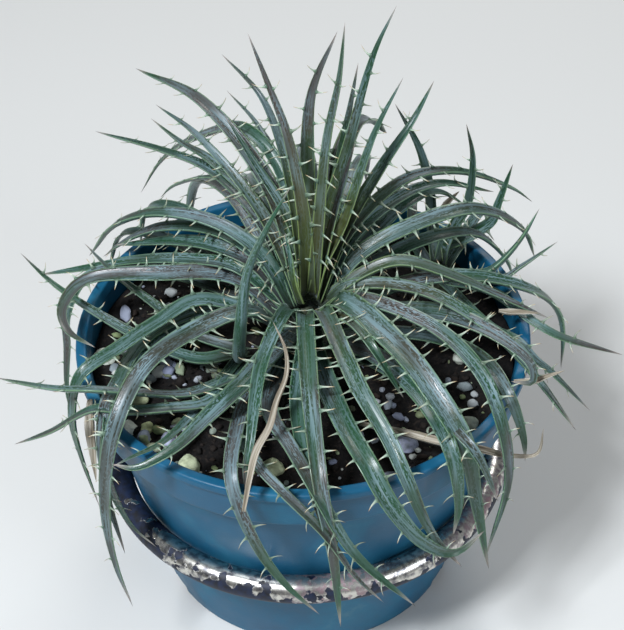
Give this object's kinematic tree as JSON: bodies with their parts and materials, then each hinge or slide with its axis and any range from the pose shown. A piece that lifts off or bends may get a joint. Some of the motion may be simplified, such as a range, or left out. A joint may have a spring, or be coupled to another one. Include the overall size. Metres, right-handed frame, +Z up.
{
  "type": "potted dyckia bromeliad",
  "caption": "Spiny clumping bromeliad with arching channelled leaves, in a plastic azalea pot with a worn tube ring round it.",
  "frame": {"origin": "centre of the pot's foot, on the plane that it stands on", "axes": "+Z up along the pot's axis, +X to the right seen from the front, +Y towards the back"},
  "size_m": [0.2044, 0.1886, 0.21],
  "materials": {
    "pot_plastic": "blue-grey, worn satin",
    "worn_chrome": "pitted, with dark blue patches",
    "potting_soil": "coarse and crumbly",
    "gravel": "rough pebble",
    "leaf_skin": "green under silvery scurf, satin",
    "dry_leaf": "dry, tan"
  },
  "bodies": {
    "root": {"pot": "pot_plastic", "pot_ring": "worn_chrome", "soil": "potting_soil", "stone_1": "gravel", "stone_2": "gravel", "stone_3": "gravel", "stone_4": "gravel", "stone_5": "gravel", "stone_6": "gravel", "stone_7": "gravel", "stone_8": "gravel", "stone_9": "gravel", "stone_10": "gravel", "stone_11": "gravel", "stone_12": "gravel", "stone_13": "gravel", "stone_14": "gravel", "stone_15": "gravel", "rosette_main": "leaf_skin", "rosette_left": "leaf_skin", "rosette_right": "leaf_skin", "dry_leaf_front": "dry_leaf", "dry_leaf_hook": "dry_leaf", "dry_leaf_right": "dry_leaf", "dry_leaf_stub": "dry_leaf", "dry_leaf_back": "dry_leaf", "dry_leaf_left": "dry_leaf"}
  },
  "joints": []
}
